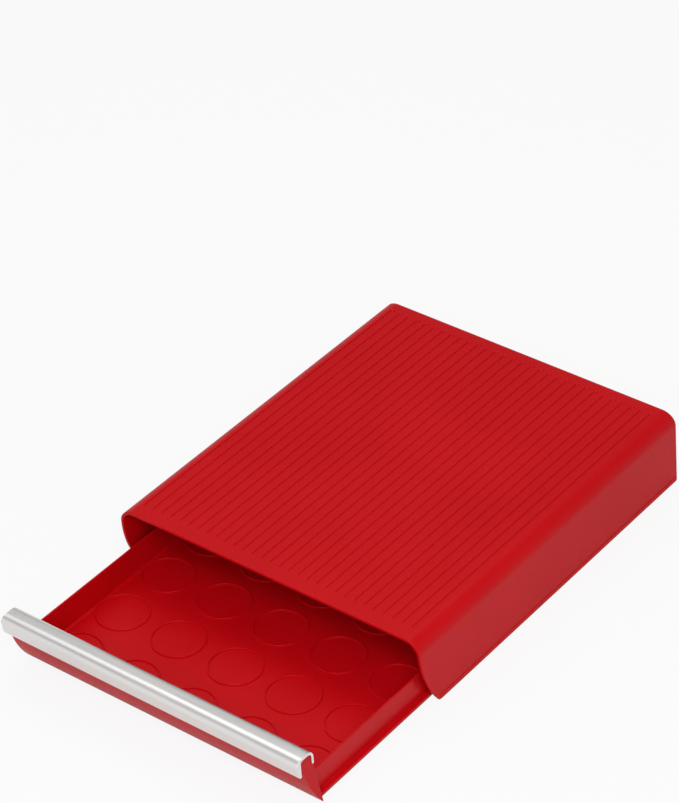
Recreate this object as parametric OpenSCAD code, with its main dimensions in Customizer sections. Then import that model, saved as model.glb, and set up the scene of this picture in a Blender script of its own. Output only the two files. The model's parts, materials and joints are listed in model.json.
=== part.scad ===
// Coffee pod drawer: a low housing that a coffee maker stands on, with a pull-out drawer for pods.
// Millimetres, +Z up, the drawer pulls out along -Y. The origin is the middle of the footprint, on
// the counter, with the drawer drawn out by drawer_open.

/* [Housing] */
// Width of the housing across its foot
housing_w = 268.6; // [262:0.1:290]
// Depth of the housing from its front edge to its back face
housing_depth = 320; // [280:1:380]
// Height of the shell, without the rubber feet
housing_h = 60; // [58:0.5:75]
// Lean of each side wall in from the vertical, in degrees
side_draft = 3.1; // [1:0.1:3.5]
// Thickness of the roof and the side walls
shell_wall = 2.5; // [2:0.1:3]
// Thickness of the back wall
back_wall = 2; // [1.5:0.1:3]
// Outside radius between the roof and each side
shoulder_r = 12; // [8:0.5:14]
// Outside radius between the roof and the back wall
back_edge_r = 4; // [3:0.5:5]
// How far the runners' outer edges stand out from the side walls
band_proud = 0.3; // [0.1:0.1:0.5]

/* [Swept front edge] */
// Radius of the curve that the front edges follow
sweep_r = 93; // [85:1:120]
// Height at which that curve turns vertical
sweep_top = 56; // [50:0.5:57]

/* [Roof grooves] */
// Distance between neighbouring grooves
groove_pitch = 8.1; // [6:0.1:12]
// Width of a groove
groove_w = 4; // [2:0.1:5]
// Depth of a groove
groove_depth = 0.6; // [0.3:0.1:1]
// Bare roof between the front edge and the grooves
groove_front = 12; // [8:1:30]
// Bare roof between the grooves and the back edge
groove_back = 11; // [8:0.5:30]

/* [Roof ribs] */
// Number of stiffening ribs under the roof
roof_ribs = 5; // [3:2:7]
// Distance between the ribs
rib_pitch = 51; // [35:1:55]
// Height of a rib
rib_h = 4; // [2:0.5:5]
// Thickness of a rib
rib_t = 2; // [1.5:0.1:3]
// Set-back of the ribs from the front edge
rib_front = 22; // [15:1:40]

/* [Runners and feet] */
// How far a runner stands in from the inner face of the side wall above it
runner_reach = 4; // [3.6:0.1:4.4]
// Height of a runner
runner_h = 3.5; // [3:0.1:5]
// Set-back of the runners' front ends from the foot of the swept front
runner_front_gap = 1; // [0.8:0.1:2]
// Thickness of a rubber foot
foot_t = 2.2; // [2:0.1:4]
// Depth of the pocket that a foot is seated in
foot_pocket = 1; // [0.6:0.1:1.4]
// Length of a foot
foot_l = 20; // [12:1:26]
// Width of a foot
foot_w = 4.6; // [3:0.1:5]
// Distance from a runner's end to the middle of the nearest foot
foot_inset = 18; // [15:1:30]

/* [Drawer tray] */
// Clearance between the sunk pan and each runner
pan_gap = 0.5; // [0.3:0.1:1]
// How far the tray's slide flange reaches over each runner
flange_reach = 1.1; // [0.6:0.1:1.3]
// Width of the slide flange, outside the tray's side wall
flange_w = 3.9; // [3:0.1:4.2]
// Thickness of the slide flange
flange_t = 1.5; // [1.2:0.1:2]
// Running clearance between flange and runner
ride_gap = 0.3; // [0.2:0.05:0.6]
// Height of the tray's side and back walls
tray_h = 26.3; // [20:0.1:34]
// Thickness of the tray's side and back walls
tray_wall = 1.6; // [1.4:0.1:2]
// Thickness of the tray's floor
floor_t = 2.4; // [2:0.1:3]
// Gap left behind the tray when the drawer is shut
close_gap = 0.6; // [0.4:0.1:2]
// How far the drawer is drawn out
drawer_open = 126.3; // [20:0.1:200]

/* [Pod seats] */
// Distance between neighbouring pods across the tray
pod_pitch = 51; // [50.8:0.1:56]
// Distance between neighbouring pods along the tray
row_pitch = 50.8; // [50.8:0.1:56]
// Diameter of a pod's lid
lid_d = 50.8; // [46:0.1:50.8]
// Inside diameter of a seat ring
seat_d = 37.8; // [34:0.1:39]
// Thickness of a seat ring
seat_wall = 1.2; // [0.8:0.1:1.6]
// Height of a seat ring above the floor
seat_h = 1.2; // [0.8:0.1:3]

/* [Drawer front] */
// Clearance between each end of the front and the housing wall
front_gap = 1.4; // [0.8:0.1:3]
// Thickness of the hollow front's walls
front_wall = 2.2; // [1.8:0.1:2.6]
// Depth of the front at its foot, measured from the housing's front edge
front_foot = 19.2; // [18.9:0.1:24]
// Lean of the front's inner wall, in mm of depth per mm of height
front_lean = 0.165; // [0.12:0.005:0.18]
// Height at which the hollow in the front begins
hollow_low = 14; // [13:0.5:24]

/* [Handle bar] */
// Height of the bar's top
bar_top = 49.8; // [47:0.1:51]
// How far the bar stands out in front of the shut housing
bar_proud = 4.8; // [3.5:0.1:6]
// Depth of the bar from its front to its back lip
bar_depth = 17.6; // [17:0.1:19.5]
// Thickness of the bar
bar_wall = 2; // [1.5:0.1:2.4]
// Outside radius along the bar's front top edge
bar_front_r = 4; // [2.6:0.1:5]
// Outside radius along the bar's back top edge
bar_back_r = 6; // [3:0.1:6.5]
// Drop of the back lip below the bar's top
lip_drop = 11.5; // [11:0.1:14]
// Drop of the plate's lower edge below the bar's top
plate_drop = 14.7; // [12:0.1:22]
// Drop of the crease between the rolled edge and the plate
crease_drop = 4.5; // [4.3:0.1:6]
// Set-back of the plate from the rolled edge at the crease
plate_step = 0.3; // [0.1:0.1:0.6]
// How far the plate leans back from the crease to its lower edge
plate_lean = 2; // [0:0.1:2.5]
// Clearance between the bar and each side wall of the housing
bar_end_gap = 0.5; // [0.4:0.1:3]
// Clearance between the bar and the drawer front that it hooks over
bar_fit = 0.3; // [0.2:0.05:0.4]

/* [Stops] */
// Set-back of the stop lugs from the front edge
stop_setback = 28; // [24:1:80]
// Thickness of a stop lug and of the post that meets it
stop_t = 3; // [2:0.1:5]
// Width of a stop lug
stop_w = 10; // [6:1:14]
// Drop of a stop lug below the roof
stop_drop = 5; // [3:0.1:6]
// Clearance between a post's top and the roof
post_gap = 0.8; // [0.5:0.1:1.5]

/* [Screws] */
// Shank diameter of the runner screws
runner_screw_d = 2; // [1.8:0.1:2.2]
// Length of the runner screws
runner_screw_l = 10; // [8:0.5:11]
// Shank diameter of the handle screws
handle_screw_d = 2.2; // [1.8:0.1:2.3]
// Length of the handle screws
handle_screw_l = 9; // [7:0.5:10]
// Distance of the outer handle screws from the ends of the bar
handle_screw_inset = 38.3; // [23:0.1:67]

/* [Hidden] */

red = "#C81A24";
silver = "#D5D3D0";
steel = "#A9ABAE";
rubber = "#202020";

cut = 1;            // how far a cutting solid runs past the face it opens
root = 0.5;         // how far a rib runs into the walls that carry it
fit = 0.1;          // gap between two pieces that are fixed to each other
boss_gap = 0.7;     // clearance between the tray's slide flanges and the screw bosses
lid_gap = 0.2;      // clearance between the bar and the nearest lids
post_foot = 6;      // reach of a stop post's gusset along the floor
post_rise = 10;     // height of that gusset above the tray's walls
arc_steps = 14;     // points along a rounded corner
sweep_steps = 18;   // points along the swept front edge
$fn = 48;

// Heights, measured from the shell's lower edge
foot_proud = foot_t - foot_pocket;
roof_in = housing_h - shell_wall;
seam_z = runner_h + fit;
ledge_z = runner_h + ride_gap;
flange_z = ledge_z + flange_t;
post_top = roof_in - post_gap;
lip_z = bar_top - lip_drop;
crease_z = bar_top - crease_drop;
plate_z = bar_top - plate_drop;
nose_top = bar_top - bar_wall - bar_fit;
neck_z = lip_z - bar_fit;

// Places across the width, measured from the middle
runner_in = wall_x(0, shell_wall) - runner_reach;
pan_x = runner_in - pan_gap;
flange_x = runner_in + flange_reach;
tray_x = flange_x - flange_w;
bar_x = wall_x(bar_top, shell_wall) - bar_end_gap;
boss_in = flange_x + boss_gap;
boss_x = (boss_in + wall_x(seam_z + runner_screw_l, 0)) / 2;
stop_x = 1.5 * pod_pitch;                // between two columns of pods, clear of their lids
handle_screw_x = bar_x - handle_screw_inset;
foot_x = (runner_in + wall_x(0, -band_proud)) / 2;

// Places along the depth, measured from the housing's front edge
runner_front = front_foot + runner_front_gap;
runner_back = housing_depth - back_wall - fit;
tray_back = housing_depth - back_wall - close_gap;
bar_back = bar_depth - bar_proud;
nose_back = bar_back - bar_wall - bar_fit;
front_y = (drawer_open + bar_proud - housing_depth) / 2;

// Screws
boss_l = 9;                              // length of a screw boss along the runner
boss_h = runner_screw_l;                 // height of a screw boss above the runner
foot_to_screw = 26;                      // from a foot's middle to the nearest runner screw
runner_screw_y = [runner_front + foot_inset + foot_to_screw,
    (runner_front + runner_back) / 2,
    runner_back - foot_inset - foot_to_screw];
screw_play = 0.05;                       // radial clearance of a screw in its hole
handle_screw_z = (neck_z + nose_top - nose_back_r()) / 2 + fit;
handle_boss_w = 10;                      // width of the solid block behind a handle screw

// Seats
seat_out = seat_d / 2 + seat_wall;
seat_first = bar_back + lid_d / 2 + lid_gap;
seat_cols = floor((tray_x - tray_wall - seat_out) / pod_pitch);
seat_rows = floor((tray_back - tray_wall - seat_out - seat_first) / row_pitch);

// Half width of a side face at height z, inset by d measured square to the wall.
function wall_x(z, d) = housing_w / 2 - band_proud - z * tan(side_draft) - d / cos(side_draft);

// Depth of the swept front edge at height z.
function sweep(z) = sweep_r - sqrt(pow(sweep_r, 2) - pow(max(sweep_top - z, 0), 2));

// Depth of the drawer front's inner face at height z.
function inner_y(z) = front_foot - front_lean * z;

function nose_back_r() = bar_back_r - bar_wall;

// Points of an arc about c, from angle a to angle b.
function arc(c, r, a, b) = [for (i = [0:arc_steps])
    let (t = a + (b - a) * i / arc_steps) [c[0] + r * cos(t), c[1] + r * sin(t)]];

function mirrored(points) = [for (i = [len(points) - 1:-1:0]) [-points[i][0], points[i][1]]];

// Outline of the housing across its width, inset by d, from height low to the roof.
function outline(d, low) =
    let (
        c = [wall_x(housing_h - shoulder_r, shoulder_r), housing_h - shoulder_r],
        half = concat([[wall_x(low, d), low]], arc(c, shoulder_r - d, side_draft, 90))
    ) concat(half, mirrored(half));

// Swept edge from height high down to height low, moved back by d.
function sweep_points(high, low, d) = [for (i = [0:sweep_steps])
    let (z = high + (low - high) * i / sweep_steps) [sweep(z) + d, z]];

// The hook of the handle bar, inset by d, from its lip over the top to the crease at depth front.
function hook(d, front) = concat(
    [[bar_back - d, lip_z]],
    arc([bar_back - bar_back_r, bar_top - bar_back_r], bar_back_r - d, 0, 90),
    arc([front + bar_front_r - d, bar_top - bar_front_r], bar_front_r - d, 90, 180),
    [[front, crease_z]]);

function reversed(points) = [for (i = [len(points) - 1:-1:0]) points[i]];

// Extrudes an outline drawn in width and height from depth y0 to depth y1.
module along_y(y0, y1) translate([0, y1, 0]) rotate([90, 0, 0]) linear_extrude(y1 - y0) children();

// Extrudes an outline drawn in depth and height from x0 to x1.
module along_x(x0, x1) translate([x0, 0, 0]) rotate([90, 0, 90]) linear_extrude(x1 - x0) children();

// A slot outline with round ends, running along the depth from y0 to y1.
module slot(w, y0, y1) {
    translate([-w / 2, y0 + w / 2]) square([w, y1 - y0 - w]);
    for (y = [y0 + w / 2, y1 - w / 2]) translate([0, y]) circle(d = w);
}

module on_housing() translate([0, front_y, foot_proud]) children();
module on_drawer() translate([0, front_y - drawer_open, foot_proud]) children();

// Everything in front of the swept edge.
module front_cut() along_x(-housing_w, housing_w)
    polygon(concat([[-housing_w, sweep_top]], sweep_points(sweep_top, 0, 0),
        [[sweep(0), -cut], [-housing_w, -cut]]));

// Everything behind the rounded edge between the roof and the back wall.
module back_cut() along_x(-housing_w, housing_w)
    polygon(concat(arc([housing_depth - back_edge_r, housing_h - back_edge_r], back_edge_r, 0, 90),
        [[housing_depth - back_edge_r, housing_h + cut], [housing_depth + cut, housing_h + cut],
            [housing_depth + cut, housing_h - back_edge_r]]));

module shell_section() difference() {
    polygon(outline(0, 0));
    polygon(outline(shell_wall, -cut));
}

// Grooves side by side, as many as have their middles on the flat of the roof.
module roof_grooves() {
    count = floor(wall_x(housing_h - shoulder_r, shoulder_r) / groove_pitch + 0.5);
    translate([0, 0, housing_h - groove_depth]) linear_extrude(groove_depth + cut)
        for (i = [0.5:count - 0.5], side = [-1, 1]) translate([side * i * groove_pitch, 0])
            slot(groove_w, groove_front, housing_depth - groove_back);
}

module roof_ribs() {
    for (i = [-(roof_ribs - 1) / 2:(roof_ribs - 1) / 2])
        translate([i * rib_pitch - rib_t / 2, rib_front, roof_in - rib_h])
            cube([rib_t, housing_depth - back_wall + root - rib_front, rib_h + root]);
}

// A lug under the roof, with a gusset that runs forward from it.
module stop_lug() {
    low = roof_in - stop_drop;
    translate([-stop_w / 2, stop_setback, low]) cube([stop_w, stop_t, stop_drop + shell_wall / 2]);
    along_x(-rib_t / 2, rib_t / 2) polygon([
        [stop_setback - stop_drop, roof_in], [stop_setback + stop_t / 2, low],
        [stop_setback + stop_t / 2, roof_in + shell_wall / 2],
        [stop_setback - stop_drop, roof_in + shell_wall / 2]]);
}

// The foot of each side wall is cut back where the wall stands on its runner.
module runner_notches() translate([-housing_w / 2, runner_front - fit, -cut])
    cube([housing_w, runner_back - runner_front + 2 * fit, seam_z + cut]);

// A boss on the inside of the right-hand wall, above the runner.
module runner_boss() along_y(-boss_l / 2, boss_l / 2) polygon([
    [boss_in, seam_z], [wall_x(seam_z, shell_wall / 2), seam_z],
    [wall_x(seam_z + boss_h, shell_wall / 2), seam_z + boss_h], [boss_in, seam_z + boss_h]]);

module housing_shell() color(red) on_housing() {
    difference() {
        union() {
            along_y(0, housing_depth) shell_section();
            along_y(housing_depth - back_wall, housing_depth) polygon(outline(0, 0));
            for (side = [0, 1], y = runner_screw_y) mirror([side, 0, 0]) translate([0, y, 0]) runner_boss();
        }
        for (side = [-1, 1], y = runner_screw_y) translate([side * boss_x, y, seam_z - cut])
            cylinder(d = runner_screw_d + 2 * screw_play, h = boss_h);
        runner_notches();
        roof_grooves();
        front_cut();
        back_cut();
    }
    roof_ribs();
    for (side = [-1, 1]) translate([side * stop_x, 0, 0]) stop_lug();
}

// The right-hand runner, from its track inside the housing to its proud outer edge.
module runner() color(red) difference() {
    along_y(runner_front, runner_back) polygon([
        [runner_in, 0], [wall_x(0, -band_proud), 0],
        [wall_x(runner_h, -band_proud), runner_h], [runner_in, runner_h]]);
    for (y = [runner_front + foot_inset, runner_back - foot_inset])
        translate([foot_x, y, -cut]) linear_extrude(foot_pocket + cut)
            slot(foot_w + 2 * fit, -foot_l / 2 - fit, foot_l / 2 + fit);
    for (y = runner_screw_y) translate([boss_x, y, 0]) {
        translate([0, 0, -cut]) cylinder(d = runner_screw_d + 2 * screw_play, h = runner_h + 2 * cut);
        screw_head(runner_screw_d / 2 + screw_play);
    }
}

// Countersunk head, flush at z = 0 and tapering upward to the shank radius r.
module screw_head(r) cylinder(r1 = 2 * r, r2 = r, h = r);

// Countersunk screw with its head flush at z = 0 and its shank pointing up, with a cross slot.
module screw(d, l) color(steel) difference() {
    union() {
        screw_head(d / 2);
        cylinder(d = d, h = l);
    }
    slot_l = 1.1 * d;
    slot_w = 0.18 * d;
    slot_depth = 0.25 * d;
    for (turn = [0, 90]) rotate([0, 0, turn]) translate([-slot_l / 2, -slot_w / 2, -cut])
        cube([slot_l, slot_w, cut + slot_depth]);
}

module runner_screw(side, place) on_housing() mirror([side, 0, 0])
    translate([boss_x, runner_screw_y[place], 0]) screw(runner_screw_d, runner_screw_l);

module foot(side, y) color(rubber) on_housing() mirror([side, 0, 0])
    translate([foot_x, y, -foot_proud]) linear_extrude(foot_t - fit)
        slot(foot_w, -foot_l / 2, foot_l / 2);

// The tray across its width: a pan sunk between the runners, slide flanges over them and side walls.
module tray_section() {
    half = [[pan_x, 0], [pan_x, ledge_z], [flange_x, ledge_z], [flange_x, flange_z],
        [tray_x, flange_z], [tray_x, tray_h]];
    polygon(concat(half, mirrored(half)));
}

module tray_hollow() translate([tray_wall - tray_x, floor_t]) square([2 * (tray_x - tray_wall), tray_h]);

// The drawer front from front to back: swept face, nose under the bar, neck, leaning inner wall.
module front_section() {
    r = nose_back_r();
    tip_r = bar_front_r - bar_wall;
    tip_y = sweep(nose_top - tip_r) + tip_r;
    polygon(concat(
        reversed(sweep_points(nose_top - tip_r, 0, 0)),
        arc([tip_y, nose_top - tip_r], tip_r, 180, 90),
        arc([nose_back - r, nose_top - r], r, 90, 0),
        [[nose_back, neck_z], [inner_y(neck_z), neck_z], [inner_y(0), 0]]));
}

module front_hollow() {
    high = nose_top + cut;
    turn = neck_z - front_wall;
    polygon(concat(
        sweep_points(high, hollow_low, front_wall),
        [[inner_y(hollow_low) - front_wall, hollow_low], [inner_y(turn) - front_wall, turn],
            [nose_back - front_wall, neck_z], [nose_back - front_wall, high]]));
}

// Everything between two ends that lean with the housing walls, at a distance gap inside them.
module between_ends(gap) {
    half = [[wall_x(-cut, shell_wall + gap), -cut], [wall_x(housing_h, shell_wall + gap), housing_h]];
    along_y(-housing_w, housing_w) polygon(concat(half, mirrored(half)));
}

module hollow_front() {
    intersection() {
        difference() {
            along_x(-housing_w / 2, housing_w / 2) front_section();
            intersection() {
                along_x(-housing_w / 2, housing_w / 2) front_hollow();
                between_ends(front_gap + front_wall);
            }
        }
        between_ends(front_gap);
    }
    for (x = [-handle_screw_x, 0, handle_screw_x]) translate([x, 0, 0])
        along_x(-handle_boss_w / 2, handle_boss_w / 2) front_section();
    for (x = [-handle_screw_x / 2, handle_screw_x / 2]) translate([x, 0, 0])
        along_x(-front_wall / 2, front_wall / 2) front_section();
}

// A post at the back of the tray: it meets the stop lug and keeps the tray from tipping.
module stop_post() {
    translate([-stop_w / 2, tray_back - stop_t, floor_t / 2]) cube([stop_w, stop_t, post_top - floor_t / 2]);
    along_x(-tray_wall / 2, tray_wall / 2) polygon([
        [tray_back - stop_t - post_foot, floor_t / 2], [tray_back - stop_t / 2, floor_t / 2],
        [tray_back - stop_t / 2, tray_h + post_rise], [tray_back - stop_t, tray_h + post_rise]]);
}

module seat_ring() difference() {
    cylinder(r = seat_out, h = floor_t / 2 + seat_h);
    translate([0, 0, -cut]) cylinder(d = seat_d, h = floor_t / 2 + seat_h + 2 * cut);
}

module drawer_tray() color(red) on_drawer() difference() {
    union() {
        difference() {
            along_y(0, tray_back) tray_section();
            along_y(-cut, tray_back - tray_wall) tray_hollow();
            front_cut();
        }
        hollow_front();
        for (side = [-1, 1]) translate([side * stop_x, 0, 0]) stop_post();
        for (i = [-seat_cols:seat_cols], j = [0:seat_rows])
            translate([i * pod_pitch, seat_first + j * row_pitch, floor_t / 2]) seat_ring();
    }
    for (x = [-handle_screw_x, 0, handle_screw_x])
        translate([x, bar_back, handle_screw_z]) rotate([90, 0, 0])
            cylinder(d = handle_screw_d + 2 * screw_play, h = handle_screw_l + cut);
}

// The bar from front to back: a hook with a thick rolled front edge, and a plate that hangs below it
// and thins toward its lower edge.
module bar_section() {
    plate_y = plate_step - bar_proud;
    polygon(concat(hook(0, -bar_proud), reversed(hook(bar_wall, -bar_fit))));
    polygon([
        [-bar_fit, crease_z + cut], [plate_y, crease_z + cut], [plate_y, crease_z],
        [plate_y + plate_lean, plate_z], [plate_y + plate_lean + bar_wall, plate_z],
        [-bar_fit, crease_z]]);
}

module handle_bar() color(silver) on_drawer() difference() {
    intersection() {
        along_x(-housing_w / 2, housing_w / 2) bar_section();
        between_ends(bar_end_gap);
    }
    for (x = [-handle_screw_x, 0, handle_screw_x])
        translate([x, bar_back, handle_screw_z]) rotate([90, 0, 0]) {
            translate([0, 0, -cut]) cylinder(d = handle_screw_d + 2 * screw_play, h = bar_wall + 2 * cut);
            screw_head(handle_screw_d / 2 + screw_play);
        }
}

module handle_screw(x) on_drawer() translate([x, bar_back, handle_screw_z])
    rotate([90, 0, 0]) screw(handle_screw_d, handle_screw_l);

module runner_left() on_housing() mirror([1, 0, 0]) runner();
module runner_right() on_housing() runner();

housing_shell();
runner_left();
runner_right();
runner_screw(1, 0);  // runner_screw_left_front
runner_screw(1, 1);  // runner_screw_left_middle
runner_screw(1, 2);  // runner_screw_left_back
runner_screw(0, 0);  // runner_screw_right_front
runner_screw(0, 1);  // runner_screw_right_middle
runner_screw(0, 2);  // runner_screw_right_back
foot(1, runner_front + foot_inset);  // foot_front_left
foot(0, runner_front + foot_inset);  // foot_front_right
foot(1, runner_back - foot_inset);  // foot_back_left
foot(0, runner_back - foot_inset);  // foot_back_right
drawer_tray();
handle_bar();
handle_screw(-handle_screw_x);  // handle_screw_left
handle_screw(0);  // handle_screw_middle
handle_screw(handle_screw_x);  // handle_screw_right
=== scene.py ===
import json
import math

import bmesh
import bpy
from mathutils import Euler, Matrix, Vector


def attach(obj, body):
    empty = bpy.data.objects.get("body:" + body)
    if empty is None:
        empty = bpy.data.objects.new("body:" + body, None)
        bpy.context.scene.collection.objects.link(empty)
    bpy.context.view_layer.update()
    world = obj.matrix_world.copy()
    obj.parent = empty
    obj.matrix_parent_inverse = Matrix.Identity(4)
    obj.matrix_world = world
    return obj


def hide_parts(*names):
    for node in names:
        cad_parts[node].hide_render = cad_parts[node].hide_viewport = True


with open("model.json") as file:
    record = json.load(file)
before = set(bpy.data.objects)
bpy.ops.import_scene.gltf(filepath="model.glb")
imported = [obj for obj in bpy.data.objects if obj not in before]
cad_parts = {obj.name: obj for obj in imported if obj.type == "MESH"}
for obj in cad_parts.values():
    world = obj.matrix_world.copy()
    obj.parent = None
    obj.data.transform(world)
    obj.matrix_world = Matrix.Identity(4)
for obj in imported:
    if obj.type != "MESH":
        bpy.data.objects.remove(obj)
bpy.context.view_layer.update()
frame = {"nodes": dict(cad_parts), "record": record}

# Sizes in millimetres, as in the CAD source.
HOUSING_W, DEPTH, HEIGHT = 268.6, 320.0, 60.0
DRAFT = math.radians(3.1)
SHELL_WALL, BACK_WALL = 2.5, 2.0
SHOULDER_R, BACK_R, CORNER_R = 12.0, 4.0, 1.2
BAND_PROUD = 0.3
SWEEP_R, SWEEP_TOP = 93.0, 56.0
GROOVE_PITCH, GROOVE_HALF, GROOVE_DEPTH = 8.1, 2.0, 0.6
GROOVE_FRONT, GROOVE_BACK, GROOVES_PER_SIDE = 12.0, 309.0, 15
RUNNER_REACH, RUNNER_H, RUNNER_FRONT = 4.0, 3.5, 20.2
FOOT_T, FOOT_POCKET, FOOT_L, FOOT_W, FOOT_INSET = 2.2, 1.0, 20.0, 4.6, 18.0
FIT, PLAY = 0.1, 0.05
LEDGE_Z, FLANGE_Z, TRAY_H, TRAY_WALL, FLOOR_T = 3.8, 5.3, 26.3, 1.6, 2.4
POD_PITCH, ROW_PITCH, SEAT_FIRST, SEAT_R, SEAT_WALL, SEAT_H = 51.0, 50.8, 38.4, 18.9, 1.2, 1.2
FRONT_FOOT, FRONT_LEAN, FRONT_WALL, HOLLOW_LOW = 19.2, 0.165, 2.2, 14.0
FRONT_END, BAR_END = SHELL_WALL + 1.4, SHELL_WALL + 0.5
BAR_TOP, BAR_PROUD, BAR_BACK, BAR_WALL, BAR_FIT = 49.8, 4.8, 12.8, 2.0, 0.3
BAR_FRONT_R, BAR_BACK_R, BAR_SOFTER = 4.0, 6.0, 3.0
LIP_Z, CREASE_Z, PLATE_Z, PLATE_LEAN, STEP = 38.3, 45.3, 35.1, 2.0, 0.3
NOSE_TOP, NECK_Z, NOSE_BACK = 47.5, 38.0, 10.5
STOP_X, STOP_W, STOP_T, STOP_Y, STOP_DROP, POST_TOP = 76.5, 10.0, 3.0, 28.0, 5.0, 56.7
RIB_PITCH, RIB_H, RIB_T, RIB_FRONT = 51.0, 4.0, 2.0, 22.0
RUNNER_SCREW_D, RUNNER_SCREW_L = 2.0, 10.0
HANDLE_SCREW_D, HANDLE_SCREW_L, HANDLE_SCREW_Z = 2.2, 9.0, 40.85
BOSS_L, FOOT_TO_SCREW = 9.0, 26.0
OPEN, FOOT_PROUD = 126.3, 1.2
FRONT_Y = (OPEN + BAR_PROUD - DEPTH) / 2

# Details inside the pieces, and the roundings that only the visible pieces have.
BOSS_BORE, PAN_FRONT, HOLLOW_TOP, SCREW_BLOCK = 9.0, 14.0, 48.5, 5.0
POST_GUSSET_L, POST_GUSSET_H = 6.0, 10.0
SEAT_COLUMNS, SEAT_ROWS = 5, 6
RIM_R, RIB_R, POST_R, TIP_R, GROOVE_LIP = 0.7, 0.4, 0.5, 0.5, 0.2
PAST = 1.0  # how far a cutter or a joined piece reaches past a face

HOUSING = Vector((0, FRONT_Y, FOOT_PROUD))
DRAWER = Vector((0, FRONT_Y - OPEN, FOOT_PROUD))
MM = 0.001


def wall_x(z, d):
    """Half width of the side wall's face at height z, moved in by d."""
    return HOUSING_W / 2 - BAND_PROUD - z * math.tan(DRAFT) - d / math.cos(DRAFT)


def sweep(z):
    """Depth of the curved front edge at height z."""
    return SWEEP_R - math.sqrt(SWEEP_R ** 2 - max(SWEEP_TOP - z, 0) ** 2)


def inner_y(z):
    return FRONT_FOOT - FRONT_LEAN * z


ROOF_IN = HEIGHT - SHELL_WALL
SEAM_Z = RUNNER_H + FIT
RUNNER_IN = wall_x(0, SHELL_WALL) - RUNNER_REACH
RUNNER_BACK = DEPTH - BACK_WALL - FIT
PAN_X, FLANGE_X, TRAY_X = RUNNER_IN - 0.5, RUNNER_IN + 1.1, RUNNER_IN - 2.8
TRAY_BACK = DEPTH - BACK_WALL - 0.6
BOSS_IN = FLANGE_X + 0.7
BOSS_X = (BOSS_IN + wall_x(SEAM_Z + RUNNER_SCREW_L, 0)) / 2
FOOT_X = (RUNNER_IN + wall_x(0, -BAND_PROUD)) / 2
FOOT_Y = (RUNNER_FRONT + FOOT_INSET, RUNNER_BACK - FOOT_INSET)
SCREW_Y = (FOOT_Y[0] + FOOT_TO_SCREW, (RUNNER_FRONT + RUNNER_BACK) / 2, FOOT_Y[1] - FOOT_TO_SCREW)
HANDLE_SCREW_X = wall_x(BAR_TOP, SHELL_WALL) - 38.8


# ---- Materials -------------------------------------------------------------------------------

def new_material(name, base, rough, metallic=0.0, specular=0.5):
    """A material, its node tree and its shader."""
    mat = bpy.data.materials.new(name)
    mat.use_nodes = True
    shader = mat.node_tree.nodes["Principled BSDF"]
    shader.inputs["Base Color"].default_value = (*base, 1)
    shader.inputs["Roughness"].default_value = rough
    shader.inputs["Metallic"].default_value = metallic
    shader.inputs["Specular IOR Level"].default_value = specular
    return mat, mat.node_tree, shader


def noise(tree, scale, detail=3.0, stretch=(1, 1, 1)):
    """Noise in the object's own coordinates, which are metres; scale is per metre."""
    coords = tree.nodes.new("ShaderNodeTexCoord")
    mapping = tree.nodes.new("ShaderNodeMapping")
    mapping.inputs["Scale"].default_value = stretch
    tex = tree.nodes.new("ShaderNodeTexNoise")
    tex.inputs["Scale"].default_value = scale
    tex.inputs["Detail"].default_value = detail
    tree.links.new(coords.outputs["Object"], mapping.inputs["Vector"])
    tree.links.new(mapping.outputs["Vector"], tex.inputs["Vector"])
    return tex.outputs["Fac"]


def spread(tree, value, low, high):
    """Spreads a noise over the range low to high."""
    node = tree.nodes.new("ShaderNodeMapRange")
    node.inputs["From Min"].default_value = 0.3
    node.inputs["From Max"].default_value = 0.7
    node.inputs["To Min"].default_value = low
    node.inputs["To Max"].default_value = high
    tree.links.new(value, node.inputs["Value"])
    return node.outputs["Result"]


def between(tree, value, dark, light):
    """Mixes two colours by a noise."""
    ramp = tree.nodes.new("ShaderNodeValToRGB")
    ramp.color_ramp.elements[0].position = 0.3
    ramp.color_ramp.elements[1].position = 0.7
    ramp.color_ramp.elements[0].color = (*dark, 1)
    ramp.color_ramp.elements[1].color = (*light, 1)
    tree.links.new(value, ramp.inputs["Fac"])
    return ramp.outputs["Color"]


def bump(tree, shader, value, strength, depth_mm):
    node = tree.nodes.new("ShaderNodeBump")
    node.inputs["Strength"].default_value = strength
    node.inputs["Distance"].default_value = depth_mm * MM
    tree.links.new(value, node.inputs["Height"])
    tree.links.new(node.outputs["Normal"], shader.inputs["Normal"])


def make_red():
    mat, tree, shader = new_material("red_plastic", (0.60, 0.002, 0.006), 0.36, specular=0.13)
    tree.links.new(between(tree, noise(tree, 14), (0.575, 0.0015, 0.005), (0.615, 0.0025, 0.007)),
                   shader.inputs["Base Color"])
    tree.links.new(spread(tree, noise(tree, 260, 4), 0.33, 0.41), shader.inputs["Roughness"])
    bump(tree, shader, noise(tree, 1500, 2), 0.22, 0.04)
    return mat


def make_aluminium():
    mat, tree, shader = new_material("bar_aluminium", (0.89, 0.875, 0.86), 0.34, metallic=1.0)
    brushed = noise(tree, 60, 6, (0.35, 42, 42))
    tree.links.new(between(tree, brushed, (0.86, 0.845, 0.83), (0.92, 0.905, 0.89)),
                   shader.inputs["Base Color"])
    tree.links.new(spread(tree, brushed, 0.29, 0.41), shader.inputs["Roughness"])
    bump(tree, shader, brushed, 0.12, 0.02)
    return mat


def make_steel():
    mat, tree, shader = new_material("screw_steel", (0.56, 0.57, 0.59), 0.3, metallic=1.0)
    tree.links.new(between(tree, noise(tree, 900), (0.50, 0.51, 0.53), (0.62, 0.63, 0.65)),
                   shader.inputs["Base Color"])
    tree.links.new(spread(tree, noise(tree, 1600), 0.24, 0.40), shader.inputs["Roughness"])
    return mat


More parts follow.
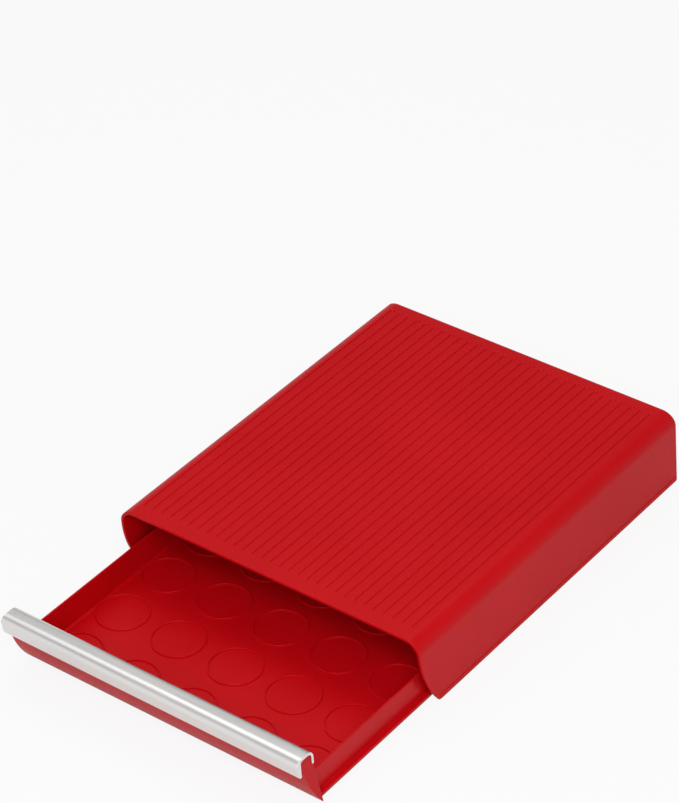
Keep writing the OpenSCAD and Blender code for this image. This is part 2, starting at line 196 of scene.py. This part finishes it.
def make_rubber():
    mat, tree, shader = new_material("foot_rubber", (0.028, 0.028, 0.03), 0.85, specular=0.3)
    tree.links.new(between(tree, noise(tree, 500), (0.022, 0.022, 0.024), (0.036, 0.036, 0.038)),
                   shader.inputs["Base Color"])
    bump(tree, shader, noise(tree, 2600, 2), 0.4, 0.05)
    return mat


MATERIALS = {"red_plastic": make_red(), "bar_aluminium": make_aluminium(),
             "screw_steel": make_steel(), "foot_rubber": make_rubber()}


# ---- Mesh tools ------------------------------------------------------------------------------

def mesh_object(name, verts, faces, home):
    mesh = bpy.data.meshes.new(name)
    mesh.from_pydata([(Vector(v) + home) * MM for v in verts], [], faces)
    bm = bmesh.new()
    bm.from_mesh(mesh)
    bmesh.ops.remove_doubles(bm, verts=bm.verts, dist=1e-7)
    bmesh.ops.recalc_face_normals(bm, faces=bm.faces)
    bm.to_mesh(mesh)
    bm.free()
    obj = bpy.data.objects.new(name, mesh)
    bpy.context.scene.collection.objects.link(obj)
    return obj


def bevel(obj, width, segments=3, angle=40, above=None):
    """Rounds the convex edges sharper than angle, or only those above a height in millimetres."""
    bm = bmesh.new()
    bm.from_mesh(obj.data)
    low = -1e9 if above is None else (above + FOOT_PROUD) * MM
    edges = [e for e in bm.edges if len(e.link_faces) == 2 and e.is_convex
             and e.calc_face_angle(0) > math.radians(angle) and min(v.co.z for v in e.verts) >= low]
    bmesh.ops.bevel(bm, geom=edges, offset=width * MM, offset_type="OFFSET", segments=segments,
                    profile=0.5, affect="EDGES", clamp_overlap=True)
    bm.to_mesh(obj.data)
    bm.free()
    return obj


def combine(obj, other, operation):
    """Joins or cuts obj with other, which is used up."""
    mod = obj.modifiers.new(operation, "BOOLEAN")
    mod.operation, mod.object, mod.solver = operation, other, "MANIFOLD"
    bpy.context.view_layer.update()
    result = bpy.data.meshes.new_from_object(obj.evaluated_get(bpy.context.evaluated_depsgraph_get()))
    obj.modifiers.clear()
    if not result.polygons:
        raise RuntimeError(f"{obj.name}: nothing left after {operation} with {other.name}")
    obj.data = result
    bpy.data.objects.remove(other)
    return obj


def dress(obj, node, body, slot, sharp=32):
    """Shades a finished piece, gives it the material of its slot, attaches it to its body and hides the CAD
    node it stands for.
    """
    mesh = obj.data
    mesh.materials.clear()
    mesh.materials.append(MATERIALS[slot])
    mesh.shade_smooth()
    mesh.set_sharp_from_angle(angle=math.radians(sharp))
    normals = obj.modifiers.new("normals", "WEIGHTED_NORMAL")
    normals.keep_sharp, normals.weight = True, 100
    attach(obj, body)
    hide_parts(node)
    return obj


def arc(c, r, a, b, steps=12):
    """Points on a circle from angle a to angle b, in degrees."""
    turns = [math.radians(a + (b - a) * i / steps) for i in range(steps + 1)]
    return [(c[0] + r * math.cos(t), c[1] + r * math.sin(t)) for t in turns]


def rounded(points, radii, steps=5):
    """A closed outline with its corners rounded; a radius of 0 leaves a corner as it is."""
    out = []
    for i, (p, r) in enumerate(zip(points, radii)):
        here, back, on = Vector(p), Vector(points[i - 1]), Vector(points[(i + 1) % len(points)])
        if not r:
            out.append(tuple(here))
            continue
        a, b = (back - here).normalized(), (on - here).normalized()
        half = a.angle(b) / 2
        reach = r / math.tan(half)
        centre = here + (a + b).normalized() * (r / math.sin(half))
        start, end = here + a * reach - centre, here + b * reach - centre
        total = start.angle_signed(end)
        for k in range(steps + 1):
            t = -total * k / steps
            out.append((centre.x + start.x * math.cos(t) - start.y * math.sin(t),
                        centre.y + start.x * math.sin(t) + start.y * math.cos(t)))
    return out


def rectangle(a0, b0, a1, b1):
    return [(a0, b0), (a1, b0), (a1, b1), (a0, b1)]


def skin(name, first, second, home):
    """Joins two outlines of as many points each into a closed piece."""
    n = len(first)
    faces = [list(range(n)), list(range(2 * n - 1, n - 1, -1))]
    faces += [(i, (i + 1) % n, n + (i + 1) % n, n + i) for i in range(n)]
    return mesh_object(name, first + second, faces, home)


def prism(name, outline, low, high, axis, home):
    """Extrudes an outline: along X it is drawn in Y and Z, along Y in X and Z, along Z in X and Y."""
    place = {"X": lambda p, t: (t, p[0], p[1]),
             "Y": lambda p, t: (p[0], t, p[1]),
             "Z": lambda p, t: (p[0], p[1], t)}[axis]
    return skin(name, [place(p, low) for p in outline], [place(p, high) for p in outline], home)


def leaning_prism(name, outline, d, home):
    """Extrudes an outline drawn in Y and Z across the object, to ends that lean with the side walls."""
    left, right = ([(sign * wall_x(z, d), y, z) for y, z in outline] for sign in (-1, 1))
    return skin(name, left, right, home)


def lathe(profile, centre, steps=48, axis="Z"):
    """Vertices and faces of a turned shape; profile lists (radius, height), from axis to axis or closed.

    Heights run up along Z, or to the front along Y."""
    closed = profile[0][0] > 0
    verts, faces, n = [], [], len(profile)
    for k in range(steps):
        t = 2 * math.pi * k / steps
        for r, h in profile:
            x, turned = r * math.cos(t), r * math.sin(t)
            p = (x, turned, h) if axis == "Z" else (x, -h, turned)
            verts.append(tuple(a + b for a, b in zip(p, centre)))
        for i in range(n if closed else n - 1):
            j, m = (i + 1) % n, (k + 1) % steps
            faces.append((k * n + i, k * n + j, m * n + j, m * n + i))
    return verts, faces


def many(name, shapes, home):
    """One object from several turned shapes."""
    verts, faces = [], []
    for v, f in shapes:
        faces += [[i + len(verts) for i in face] for face in f]
        verts += v
    return mesh_object(name, verts, faces, home)


def mirror_x(points):
    return [(-x, z) for x, z in reversed(points)]


def slot_outline(cx, cy, w, length):
    """A slot with round ends, long in Y."""
    r, half = w / 2, length / 2 - w / 2
    return arc((cx, cy + half), r, 0, 180, 10) + arc((cx, cy - half), r, 180, 360, 10)


# ---- Housing shell ---------------------------------------------------------------------------

def section_samples():
    """Stations round the shell, right foot to left foot: kind, height or angle or x."""
    centre = (wall_x(HEIGHT - SHOULDER_R, SHOULDER_R), HEIGHT - SHOULDER_R)
    tangent = centre[1] + SHOULDER_R * math.sin(DRAFT)
    side = [("side", z) for z in (0, 1.7, 3.4, 5)]
    side += [("side", 5 + (tangent - 8) * i / 18) for i in range(1, 19)]
    shoulder = [("arc", DRAFT + (math.pi / 2 - DRAFT) * i / 16) for i in range(17)]
    from_groove = (0, 0.5, 1.0, 1.4, 1.65, 1.8, 1.9, 2.0, 2.15)
    lines = [sign * (k + 0.5) * GROOVE_PITCH + turn * x for k in range(GROOVES_PER_SIDE)
             for sign in (-1, 1) for turn in (-1, 1) for x in from_groove]
    roof = sorted({round(x, 3) for x in lines if abs(x) < centre[0] - 0.02})
    stations = [(kind, 1, v) for kind, v in side + shoulder]
    stations += [("roof", 1, x) for x in reversed(roof)]
    stations += [(kind, -1, v) for kind, v in reversed(side + shoulder)]
    return stations, centre


def sunk(x, y):
    """Depth of the roof's grooves at a point, with a rounded lip."""
    k = min(max(math.floor(abs(x) / GROOVE_PITCH), 0), GROOVES_PER_SIDE - 1)
    dx = abs(abs(x) - (k + 0.5) * GROOVE_PITCH)
    dy = max(GROOVE_FRONT + GROOVE_HALF - y, y - GROOVE_BACK + GROOVE_HALF, 0)
    inside = GROOVE_HALF - math.hypot(dx, dy)
    t = min(max(inside / GROOVE_LIP, 0), 1)
    return GROOVE_DEPTH * t * t * (3 - 2 * t)


def shell_point(station, centre, d):
    """X and Z of a station's point on the shell, moved in by d."""
    kind, sign, v = station
    if kind == "side":
        return sign * wall_x(v, d), v
    if kind == "arc":
        r = SHOULDER_R - d
        return sign * (centre[0] + r * math.cos(v)), centre[1] + r * math.sin(v)
    return v, HEIGHT - d


def back_radius(station):
    """How much the edge to the back wall is rounded: little at the sides, more at the roof."""
    kind, _, v = station
    if kind == "roof":
        return BACK_R
    if kind == "side":
        return CORNER_R
    t = (v - DRAFT) / (math.pi / 2 - DRAFT)
    return CORNER_R + (BACK_R - CORNER_R) * t * t * (3 - 2 * t)


def build_shell():
    """A skin over stations round the shell and rows from its inside over the front rim to the back."""
    stations, centre = section_samples()
    quarter = [math.pi / 2 * i / 4 for i in range(5)]
    ends = [0.25 * i for i in range(11)]
    lengths = [2, 6, 10] + [GROOVE_FRONT - 0.2 + e for e in ends] + [18, 40, 90, 160, 230, 290, 303]
    lengths += [GROOVE_BACK - 2.3 + e for e in ends] + [312]
    rows = [("in", DEPTH - BACK_WALL)] + [("in", y) for y in (300, 220, 140, 70, 30, 10, 3)]
    rows += [("rim_in", t) for t in quarter] + [("rim_out", t) for t in quarter]
    rows += [("out", y) for y in lengths] + [("back", t) for t in [math.pi / 2 * i / 8 for i in range(9)]]

    def at(station, row):
        kind, value = row
        if kind == "in":
            x, z = shell_point(station, centre, SHELL_WALL)
            f = sweep(z)
            return x, f + (DEPTH - BACK_WALL - f) * value / (DEPTH - BACK_WALL), z
        if kind in ("rim_in", "rim_out"):
            near, far = RIM_R * (1 - math.sin(value)), RIM_R * (1 - math.cos(value))
            run, d = (near, SHELL_WALL - far) if kind == "rim_in" else (far, near)
            x, z = shell_point(station, centre, d)
            return x, sweep(z) + run, z
        if kind == "back":
            r = back_radius(station)
            x, z = shell_point(station, centre, r * (1 - math.cos(value)))
            return x, DEPTH - r + r * math.sin(value), z
        x, z = shell_point(station, centre, 0)
        f, end = sweep(z), DEPTH - BACK_R
        y = f + (end - f) * value / end
        return x, y, z - (sunk(x, y) if station[0] == "roof" else 0)

    n, m = len(stations), len(rows)
    verts = [at(s, r) for s in stations for r in rows]
    faces = [(i * m + j, (i + 1) * m + j, (i + 1) * m + j + 1, i * m + j + 1)
             for i in range(n - 1) for j in range(m - 1)]
    faces.append([i * m for i in range(n)])
    faces.append([i * m + m - 1 for i in range(n - 1, -1, -1)])
    faces.append(list(range(m)) + [(n - 1) * m + j for j in range(m - 1, -1, -1)])
    shell = mesh_object("shell", verts, faces, HOUSING)

    for i in range(-2, 3):
        x = i * RIB_PITCH
        outline = rectangle(x - RIB_T / 2, ROOF_IN - RIB_H, x + RIB_T / 2, ROOF_IN + PAST / 2)
        rib = prism("rib", outline, RIB_FRONT, DEPTH - BACK_WALL + PAST / 2, "Y", HOUSING)
        combine(shell, bevel(rib, RIB_R), "UNION")
    for sign in (-1, 1):
        x = sign * STOP_X
        low = ROOF_IN - STOP_DROP
        outline = rectangle(x - STOP_W / 2, low, x + STOP_W / 2, ROOF_IN + PAST)
        lug = prism("lug", outline, STOP_Y, STOP_Y + STOP_T, "Y", HOUSING)
        combine(shell, bevel(lug, RIB_R), "UNION")
        outline = [(STOP_Y - STOP_DROP, ROOF_IN), (STOP_Y + STOP_T / 2, low + RIB_R),
                   (STOP_Y + STOP_T / 2, ROOF_IN + PAST), (STOP_Y - STOP_DROP, ROOF_IN + PAST)]
        gusset = prism("gusset", outline, x - RIB_T / 2, x + RIB_T / 2, "X", HOUSING)
        combine(shell, gusset, "UNION")
        low, high = SEAM_Z, SEAM_Z + RUNNER_SCREW_L
        for y in SCREW_Y:
            outline = [(BOSS_IN, low), (wall_x(low, 1.2), low), (wall_x(high, 1.2), high), (BOSS_IN, high)]
            outline = outline if sign > 0 else mirror_x(outline)
            boss = prism("boss", outline, y - BOSS_L / 2, y + BOSS_L / 2, "Y", HOUSING)
            combine(shell, bevel(boss, RIB_R), "UNION")
            bore = rectangle(0, low - PAST, RUNNER_SCREW_D / 2 + PLAY, low + BOSS_BORE)
            hole = lathe(bore, (sign * BOSS_X, y, 0), 24)
            combine(shell, many("hole", [hole], HOUSING), "DIFFERENCE")
    notch = rectangle(RUNNER_FRONT - FIT, -PAST, RUNNER_BACK + FIT, SEAM_Z)
    combine(shell, prism("notch", notch, -HOUSING_W, HOUSING_W, "X", HOUSING), "DIFFERENCE")
    return shell


shell = build_shell()
shell.name = "moulded_housing"
dress(shell, "housing_shell", "housing", "red_plastic")


# ---- Runners, feet and their screws ----------------------------------------------------------

def countersink(name, d, depth, centre, axis, home):
    """The cutter for the clear hole of a countersunk screw of width d, whose head is flush at centre."""
    r = d / 2 + PLAY
    profile = [(0, -PAST), (2 * r, -PAST), (2 * r, 0), (r, r), (r, depth), (0, depth)]
    return many(name, [lathe(profile, centre, 32, axis)], home)


def build_screw(name, d, length, centre, axis, home, node, body):
    """A countersunk screw with a cross recess; its head is flush at centre."""
    r = d / 2
    profile = [(0, 0), (2 * r - 0.15, 0), (2 * r, 0.12), (r, r)]
    profile += [(r, length - 0.5), (r * 0.5, length), (0, length)]
    screw = many(name, [lathe(profile, centre, 40, axis)], home)
    reach, half, sink = 0.55 * d, 0.09 * d, 0.25 * d
    for a, b in ((reach, half), (half, reach)):
        cx, cy, cz = centre
        if axis == "Z":
            outline = rectangle(cx - a, cy - b, cx + a, cy + b)
            recess = prism("recess", outline, -PAST, sink, "Z", home)
        else:
            outline = rectangle(cx - a, cz - b, cx + a, cz + b)
            recess = prism("recess", outline, cy - sink, cy + PAST, "Y", home)
        combine(screw, recess, "DIFFERENCE")
    dress(screw, node, body, "screw_steel")


for sign, hand in ((-1, "left"), (1, "right")):
    outline = rounded([(RUNNER_IN, 0), (wall_x(0, -BAND_PROUD), 0), (wall_x(RUNNER_H, -BAND_PROUD), RUNNER_H),
                       (RUNNER_IN, RUNNER_H)], [0.5, 0.2, 0.25, 0.6])
    outline = outline if sign > 0 else mirror_x(outline)
    runner = bevel(prism("track_" + hand, outline, RUNNER_FRONT, RUNNER_BACK, "Y", HOUSING), 0.3, 2, 60)
    for y in FOOT_Y:
        outline = slot_outline(sign * FOOT_X, y, FOOT_W + 2 * FIT, FOOT_L + 2 * FIT)
        combine(runner, prism("pocket", outline, -PAST, FOOT_POCKET, "Z", HOUSING), "DIFFERENCE")
    for y in SCREW_Y:
        hole = countersink("hole", RUNNER_SCREW_D, RUNNER_H + PAST, (sign * BOSS_X, y, 0), "Z", HOUSING)
        combine(runner, hole, "DIFFERENCE")
    dress(runner, "runner_" + hand, "housing", "red_plastic")
    for place, y in zip(("front", "middle", "back"), SCREW_Y):
        build_screw(f"track_screw_{hand}_{place}", RUNNER_SCREW_D, RUNNER_SCREW_L, (sign * BOSS_X, y, 0),
                    "Z", HOUSING, f"runner_screw_{hand}_{place}", "housing")
    for place, y in zip(("front", "back"), FOOT_Y):
        outline = slot_outline(sign * FOOT_X, y, FOOT_W, FOOT_L)
        pad = prism(f"pad_{place}_{hand}", outline, -FOOT_PROUD, FOOT_T - FIT - FOOT_PROUD, "Z", HOUSING)
        dress(bevel(pad, 0.35, 3, 60), f"foot_{place}_{hand}", "housing", "foot_rubber")


# ---- Drawer tray -----------------------------------------------------------------------------

# The outside of the tray's right side, from the bottom up, and how much each corner is rounded.
SIDE = [(PAN_X, 0), (PAN_X, LEDGE_Z), (FLANGE_X, LEDGE_Z), (FLANGE_X, FLANGE_Z), (TRAY_X, FLANGE_Z),
        (TRAY_X, TRAY_H)]
SIDE_R = [0.8, 0.3, 0.4, 0.4, 0.35, 0.7]


def pan_outline():
    """The tray's floor and side walls, in X and Z."""
    inner = [(TRAY_X - TRAY_WALL, TRAY_H), (TRAY_X - TRAY_WALL, FLOOR_T)]
    points = SIDE + inner + mirror_x(SIDE + inner)
    radii = SIDE_R + [0.7, 2.0]
    return rounded(points, radii + radii[::-1])


def front_outline():
    """The tray's front, in Y and Z: its swept face, and the nose that the bar hooks over."""
    tip_r, nose_r = BAR_FRONT_R - BAR_WALL, BAR_BACK_R - BAR_WALL
    high = NOSE_TOP - tip_r
    face = [(sweep(high * i / 26), high * i / 26) for i in range(26)]
    tip = arc((sweep(high) + tip_r, high), tip_r, 180, 90, 8)
    nose = arc((NOSE_BACK - nose_r, NOSE_TOP - nose_r), nose_r, 90, 0, 10)
    return face + tip + nose + [(NOSE_BACK, NECK_Z), (inner_y(NECK_Z), NECK_Z), (inner_y(0), 0)]


def build_tray():
    tray = bevel(leaning_prism("tray", front_outline(), FRONT_END, DRAWER), 0.45, 3, 50, above=2.5)

    pan = bevel(prism("pan", pan_outline(), PAN_FRONT, TRAY_BACK - 1, "Y", DRAWER), 0.1, 1, 60)
    ahead = [(sweep(z), z) for z in [SWEEP_TOP * i / 24 for i in range(25)]]
    ahead = [(sweep(0), -3), (-60, -3), (-60, SWEEP_TOP)] + ahead[::-1]
    combine(pan, prism("ahead", ahead, -HOUSING_W, HOUSING_W, "X", DRAWER), "DIFFERENCE")
    combine(tray, pan, "UNION")

    back = rounded(SIDE + mirror_x(SIDE), SIDE_R + SIDE_R[::-1])
    wall = prism("back", back, TRAY_BACK - TRAY_WALL, TRAY_BACK, "Y", DRAWER)
    combine(tray, bevel(wall, POST_R, 3, 60), "UNION")

    for sign in (-1, 1):
        x = sign * STOP_X
        outline = rectangle(x - STOP_W / 2, FLOOR_T / 2, x + STOP_W / 2, POST_TOP)
        post = prism("post", outline, TRAY_BACK - STOP_T, TRAY_BACK, "Y", DRAWER)
        combine(tray, bevel(post, POST_R), "UNION")
        high, middle = TRAY_H + POST_GUSSET_H, TRAY_BACK - STOP_T / 2
        outline = [(TRAY_BACK - STOP_T - POST_GUSSET_L, FLOOR_T / 2), (middle, FLOOR_T / 2), (middle, high),
                   (TRAY_BACK - STOP_T, high)]
        gusset = prism("gusset", outline, x - TRAY_WALL / 2, x + TRAY_WALL / 2, "X", DRAWER)
        combine(tray, bevel(gusset, 0.3, 2), "UNION")

    ring = rectangle(SEAT_R, FLOOR_T / 2, SEAT_R + SEAT_WALL, FLOOR_T + SEAT_H)
    ring = rounded(ring, [0, 0, 0.45, 0.45], 4)
    rings = [lathe(ring, ((i - SEAT_COLUMNS // 2) * POD_PITCH, SEAT_FIRST + j * ROW_PITCH, 0), 72)
             for i in range(SEAT_COLUMNS) for j in range(SEAT_ROWS)]
    combine(tray, many("rings", rings, DRAWER), "UNION")

    # The front is hollow from above, but for a block behind each handle screw and a web between blocks.
    heights = [HOLLOW_LOW + (HOLLOW_TOP - HOLLOW_LOW) * i / 16 for i in range(16, -1, -1)]
    turn = NECK_Z - FRONT_WALL
    hollow = [(sweep(z) + FRONT_WALL, z) for z in heights]
    hollow += [(inner_y(z) - FRONT_WALL, z) for z in (HOLLOW_LOW, turn)]
    hollow += [(NOSE_BACK - FRONT_WALL, z) for z in (NECK_Z, HOLLOW_TOP)]
    end = wall_x(NOSE_TOP, FRONT_END + FRONT_WALL)
    solid = [(i * HANDLE_SCREW_X / 2, FRONT_WALL / 2 if i % 2 else SCREW_BLOCK) for i in range(-2, 3)]
    edges = [-end] + [x + side * half for x, half in solid for side in (-1, 1)] + [end]
    for low, high in zip(edges[::2], edges[1::2]):
        combine(tray, prism("hollow", hollow, low, high, "X", DRAWER), "DIFFERENCE")
    bore = rectangle(0, 0, HANDLE_SCREW_D / 2 + PLAY, HANDLE_SCREW_L + PAST)
    for x in (-HANDLE_SCREW_X, 0, HANDLE_SCREW_X):
        hole = lathe(bore, (x, BAR_BACK, HANDLE_SCREW_Z), 24, "Y")
        combine(tray, many("hole", [hole], DRAWER), "DIFFERENCE")
    return tray


tray = build_tray()
tray.name = "moulded_tray"
dress(tray, "drawer_tray", "drawer", "red_plastic")


# ---- Handle bar and its screws ---------------------------------------------------------------

def bar_outline():
    """The bar's cut end, in Y and Z: the lip at the back, the top, the roll, the plate and the inside."""
    back = (BAR_BACK - BAR_BACK_R, BAR_TOP - BAR_BACK_R)
    roll_z = BAR_TOP - BAR_FRONT_R
    lip = arc((BAR_BACK - TIP_R, LIP_Z + TIP_R), TIP_R, -90, 0, 4)
    # The visible roll is rounded more softly than the solid's, which it follows within 0.6 mm.
    depth = BAR_FRONT_R + BAR_SOFTER
    turns = [math.pi / 2 * (1 + i / 16) for i in range(17)]
    roll = [(depth - BAR_PROUD + depth * math.cos(t), roll_z + BAR_FRONT_R * math.sin(t)) for t in turns]
    plate = STEP - BAR_PROUD
    crease = [(-BAR_PROUD, CREASE_Z + 0.1), (-BAR_PROUD + 0.08, CREASE_Z), (plate, CREASE_Z - 0.05)]
    low = plate + PLATE_LEAN
    foot = arc((low + TIP_R, PLATE_Z + TIP_R), TIP_R, 180, 270, 4)
    foot += arc((low + BAR_WALL - TIP_R, PLATE_Z + TIP_R), TIP_R, 270, 360, 4)
    roll_in = arc((BAR_FRONT_R - BAR_WALL - BAR_FIT, roll_z), BAR_FRONT_R - BAR_WALL, 180, 90, 10)
    back_in = arc(back, BAR_BACK_R - BAR_WALL, 90, 0, 10)
    lip_in = arc((BAR_BACK - BAR_WALL + TIP_R, LIP_Z + TIP_R), TIP_R, 180, 270, 4)
    outside = lip + arc(back, BAR_BACK_R, 0, 90, 14) + roll + crease + foot
    return outside + [(-BAR_FIT, CREASE_Z)] + roll_in + back_in + lip_in


bar = bevel(leaning_prism("hook_bar", bar_outline(), BAR_END, DRAWER), 0.6, 4, 60)
heads = [(x, BAR_BACK, HANDLE_SCREW_Z) for x in (-HANDLE_SCREW_X, 0, HANDLE_SCREW_X)]
for head in heads:
    combine(bar, countersink("hole", HANDLE_SCREW_D, BAR_WALL + PAST, head, "Y", DRAWER), "DIFFERENCE")
dress(bar, "handle_bar", "drawer", "bar_aluminium")
for hand, head in zip(("left", "middle", "right"), heads):
    build_screw("bar_screw_" + hand, HANDLE_SCREW_D, HANDLE_SCREW_L, head, "Y", DRAWER,
                "handle_screw_" + hand, "drawer")

# The hidden CAD nodes keep the same finishes as the pieces that stand for them.
for part in frame["record"]["subparts"]:
    node = frame["nodes"][part["node"]]
    node.data.materials.clear()
    node.data.materials.append(MATERIALS[part["material_slot"]])


# ---- Camera, floor and light -----------------------------------------------------------------

scene = bpy.context.scene
scene.view_settings.view_transform = "Standard"

# Solved from the grid of pods; the sensor width belongs to the picture's long side.
FOCAL_PX, LONG_SIDE_PX, SENSOR_MM = 3314.96, 803, 36.0
camera_data = bpy.data.cameras.new("camera")
camera_data.sensor_width = SENSOR_MM
camera_data.lens = FOCAL_PX / LONG_SIDE_PX * SENSOR_MM
camera = bpy.data.objects.new("camera", camera_data)
camera.location = (1.1482, -1.2655 + (FRONT_Y - 91.0) * MM, 1.5020)
camera.rotation_euler = Euler((0.94027155, 0.03110465, 0.6482181), "XYZ")
scene.collection.objects.link(camera)
scene.camera = camera


def calculate(tree, operation, *values):
    """A Math node's result; each value is a number or another node's output."""
    node = tree.nodes.new("ShaderNodeMath")
    node.operation = operation
    for socket, value in zip(node.inputs, values):
        if isinstance(value, (int, float)):
            socket.default_value = value
        else:
            tree.links.new(value, socket)
    return node.outputs[0]


def seen_or_reflected(tree, seen, reflected):
    """seen for camera rays, reflected for glossy and transmission rays, 0 for all others."""
    path = tree.nodes.new("ShaderNodeLightPath").outputs
    total = calculate(tree, "MULTIPLY_ADD", path["Is Camera Ray"], seen, 0)
    total = calculate(tree, "MULTIPLY_ADD", path["Is Glossy Ray"], reflected, total)
    return calculate(tree, "MULTIPLY_ADD", path["Is Transmission Ray"], reflected, total)


def mixed(tree, factor, first, second):
    node = tree.nodes.new("ShaderNodeMixShader")
    for socket, value in zip(node.inputs, (factor, first, second)):
        tree.links.new(value, socket)
    return node.outputs[0]


bpy.ops.mesh.primitive_plane_add(size=40)
floor = bpy.context.object
floor.name = "floor"
floor_mat, tree, shader = new_material("floor", (0.8, 0.8, 0.8), 0.9, specular=0.1)
glow = tree.nodes.new("ShaderNodeEmission")
glow.inputs["Color"].default_value = (1, 1, 1, 1)
glow.inputs["Strength"].default_value = 1.0
coords = tree.nodes.new("ShaderNodeTexCoord")
split = tree.nodes.new("ShaderNodeSeparateXYZ")
tree.links.new(coords.outputs["Object"], split.inputs[0])
# The floor glows so that it looks white, but not under the housing, where it is in the dark.
half_x, low_y, high_y = RUNNER_IN + RUNNER_REACH, FRONT_Y + 25, FRONT_Y + DEPTH - 1
across = calculate(tree, "COMPARE", split.outputs["X"], 0, half_x * MM)
along = calculate(tree, "COMPARE", split.outputs["Y"], (low_y + high_y) / 2 * MM, (high_y - low_y) / 2 * MM)
clear = calculate(tree, "SUBTRACT", 1, calculate(tree, "MULTIPLY", across, along))
glowing = calculate(tree, "MULTIPLY", seen_or_reflected(tree, 0.88, 0.3), clear)
tree.links.new(mixed(tree, glowing, shader.outputs[0], glow.outputs[0]),
               tree.nodes["Material Output"].inputs["Surface"])
floor.data.materials.append(floor_mat)


def area_light(name, place, target, size, power):
    """A square soft lamp at place, turned to target."""
    data = bpy.data.lights.new(name, "AREA")
    data.shape = "SQUARE"
    data.size = size
    data.energy = power
    lamp = bpy.data.objects.new(name, data)
    lamp.location = place
    lamp.rotation_euler = (Vector(target) - Vector(place)).to_track_quat("-Z", "Y").to_euler()
    scene.collection.objects.link(lamp)


area_light("key_softbox", (0.75, -0.95, 1.15), (0.08, -0.1, 0.03), 0.7, 11.5)
area_light("top_softbox", (-0.3, 0.5, 1.8), (0, 0.05, 0), 1.2, 6)
area_light("bar_softbox", (-0.83, 0.18, 1.36), (0, -0.22, 0.05), 0.65, 1.2)

# Light from all round. The camera sees a white backdrop; what is glossy sees one that dims above
# and behind the object.
world = bpy.data.worlds.new("world")
scene.world = world
world.use_nodes = True
tree = world.node_tree
light = tree.nodes["Background"]
light.inputs["Color"].default_value = (1, 1, 1, 1)
light.inputs["Strength"].default_value = 0.42
coords = tree.nodes.new("ShaderNodeTexCoord")
height = tree.nodes.new("ShaderNodeVectorMath")
height.operation = "DOT_PRODUCT"
height.inputs[1].default_value = (0, 0.4, 0.9)
ramp = tree.nodes.new("ShaderNodeValToRGB")
ramp.color_ramp.elements[0].position = 0.35
ramp.color_ramp.elements[0].color = (0.82, 0.82, 0.82, 1)
ramp.color_ramp.elements[1].position = 0.85
ramp.color_ramp.elements[1].color = (0.18, 0.18, 0.18, 1)
tree.links.new(coords.outputs["Generated"], height.inputs[0])
tree.links.new(height.outputs["Value"], ramp.inputs["Fac"])
surface = light.outputs[0]
for seen, reflected in ((0, 1), (1, 0)):
    backdrop = tree.nodes.new("ShaderNodeBackground")
    backdrop.inputs["Color"].default_value = (1, 1, 1, 1)
    if reflected:
        tree.links.new(ramp.outputs["Color"], backdrop.inputs["Color"])
    surface = mixed(tree, seen_or_reflected(tree, seen, reflected), surface, backdrop.outputs[0])
tree.links.new(surface, tree.nodes["World Output"].inputs["Surface"])

bpy.context.view_layer.update()
